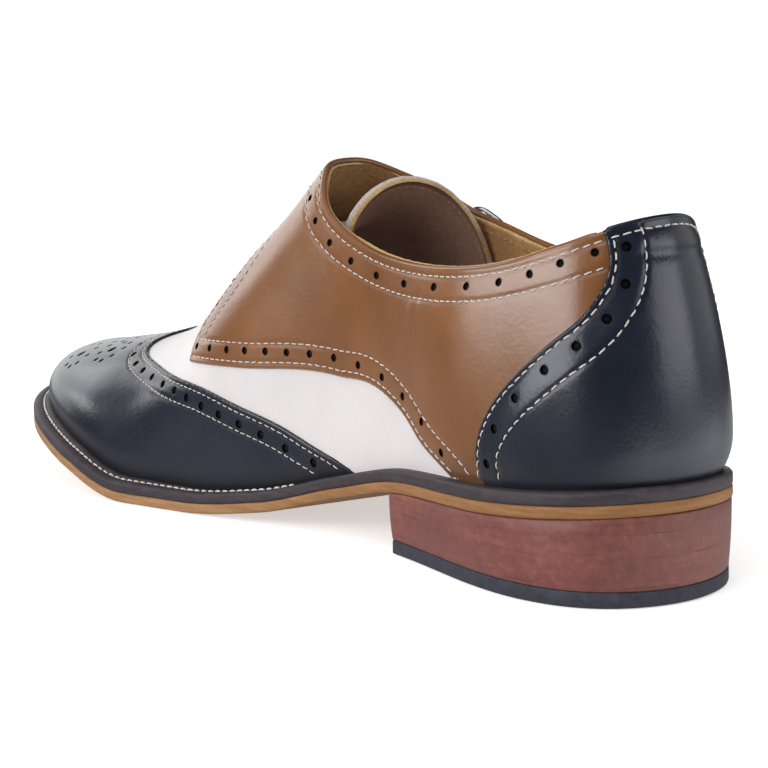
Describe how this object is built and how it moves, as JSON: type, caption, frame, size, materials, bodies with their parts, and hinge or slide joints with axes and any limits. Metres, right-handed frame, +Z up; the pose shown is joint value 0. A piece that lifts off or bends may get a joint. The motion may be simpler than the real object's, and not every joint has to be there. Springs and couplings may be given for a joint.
{
  "type": "dress shoe",
  "caption": "Right men's dress shoe with a single monk strap and buckle, wing cap, leather sole and stacked heel, standing empty on its sole.",
  "frame": {"origin": "centre of the shoe's plan box, on the floor it stands on", "axes": "+X from heel to toe, +Y towards the inner side of the foot, +Z up"},
  "size_m": [0.3134, 0.1034, 0.1021],
  "materials": {
    "sole_leather": "edge dressed leather",
    "welt_leather": "dark edge ink, satin",
    "heel_leather": "stacked leather, sanded and waxed",
    "rubber": "matt black",
    "lining_leather": "unpolished lining leather",
    "brown_leather": "smooth polished leather",
    "white_leather": "smooth polished leather",
    "navy_leather": "smooth polished leather",
    "thread": "waxed off-white thread",
    "silver_metal": "polished silver colour"
  },
  "bodies": {
    "root": {"outsole": "sole_leather", "welt": "welt_leather", "heel_stack": "heel_leather", "heel_top_lift": "rubber", "insole": "lining_leather", "upper": "brown_leather", "tongue": "white_leather", "monk_strap": "brown_leather", "buckle_frame": "silver_metal", "buckle_prong": "silver_metal"}
  },
  "joints": []
}
